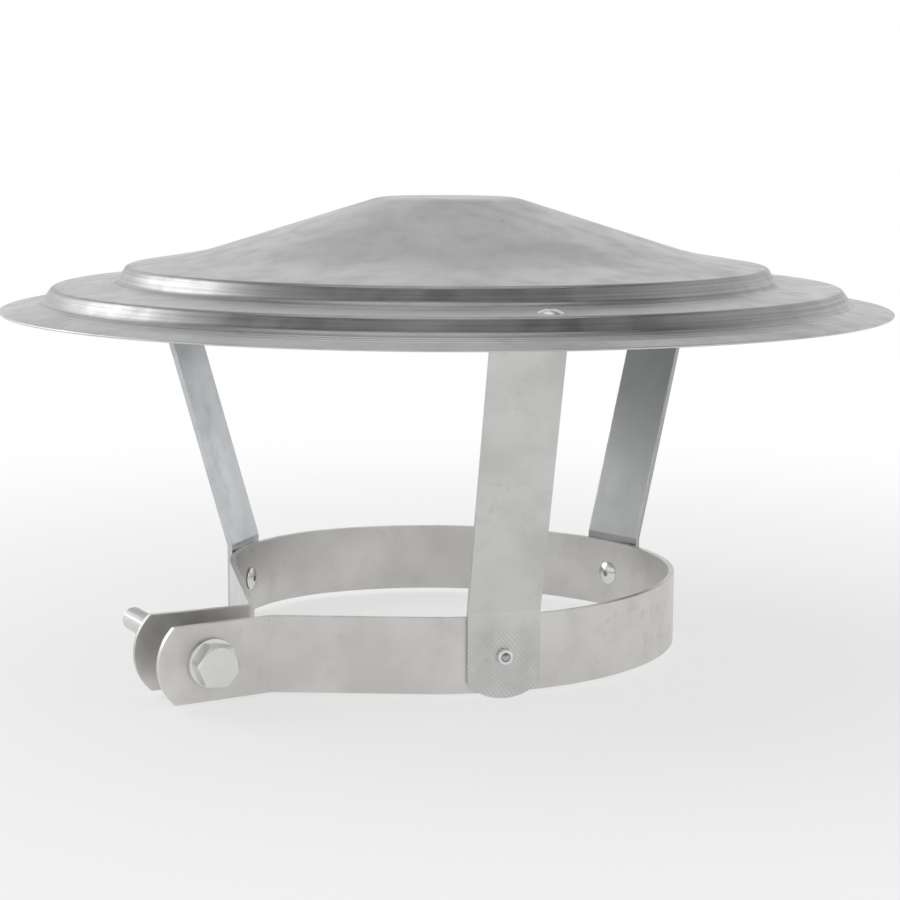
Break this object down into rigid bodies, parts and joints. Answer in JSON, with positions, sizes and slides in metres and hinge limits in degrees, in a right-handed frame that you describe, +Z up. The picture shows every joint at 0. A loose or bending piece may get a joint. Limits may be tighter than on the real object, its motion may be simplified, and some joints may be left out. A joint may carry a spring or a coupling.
{
  "type": "flue rain cap",
  "caption": "Round stepped sheet-metal hood on bent bar legs, riveted to a split clamp band that a bolt tightens round a flue pipe.",
  "frame": {"origin": "under the centre of the hood, on the surface that the leg ends stand on", "axes": "+Z up along the hood's axis, -Y to the front, where one leg stands; the ears and the bolt are front left (-X, -Y)"},
  "size_m": [0.3074, 0.3074, 0.158],
  "materials": {
    "hood_sheet": "satin galvanised sheet",
    "bar_zinc": "satin zinc plate",
    "leg_zinc": "satin zinc plate",
    "rivet_body": "bright",
    "rivet_mandrel": "satin",
    "bolt_zinc": "bright zinc plate"
  },
  "bodies": {
    "cap_frame": {"hood": "hood_sheet", "clamp_band": "bar_zinc", "leg_front": "leg_zinc", "leg_right": "leg_zinc", "leg_left": "leg_zinc", "hood_rivet_front": "rivet_body", "hood_rivet_right": "rivet_body", "hood_rivet_left": "rivet_body", "band_rivet_front": "rivet_body", "band_rivet_right": "rivet_body", "band_rivet_left": "rivet_body", "hood_mandrel_front": "rivet_mandrel", "hood_mandrel_right": "rivet_mandrel", "hood_mandrel_left": "rivet_mandrel", "band_mandrel_front": "rivet_mandrel", "band_mandrel_right": "rivet_mandrel", "band_mandrel_left": "rivet_mandrel", "clamp_washer": "bolt_zinc"},
    "bolt": {"clamp_bolt": "bolt_zinc"},
    "nut": {"clamp_nut": "bolt_zinc"}
  },
  "joints": [
    {"name": "bolt_turn", "type": "hinge", "parent": "cap_frame", "child": "bolt", "pos_m": [-0.07397, -0.08737, 0.014], "axis": [0.5, -0.866, 0], "range_deg": [0, 11520]},
    {"name": "nut_travel", "type": "slide", "parent": "cap_frame", "child": "nut", "axis": [-0.5, 0.866, 0], "range_m": [0, 0.04001]}
  ],
  "couplings": [
    {"joint": "nut_travel", "follows": "bolt_turn", "m_per_rad": 0.00019894}
  ]
}
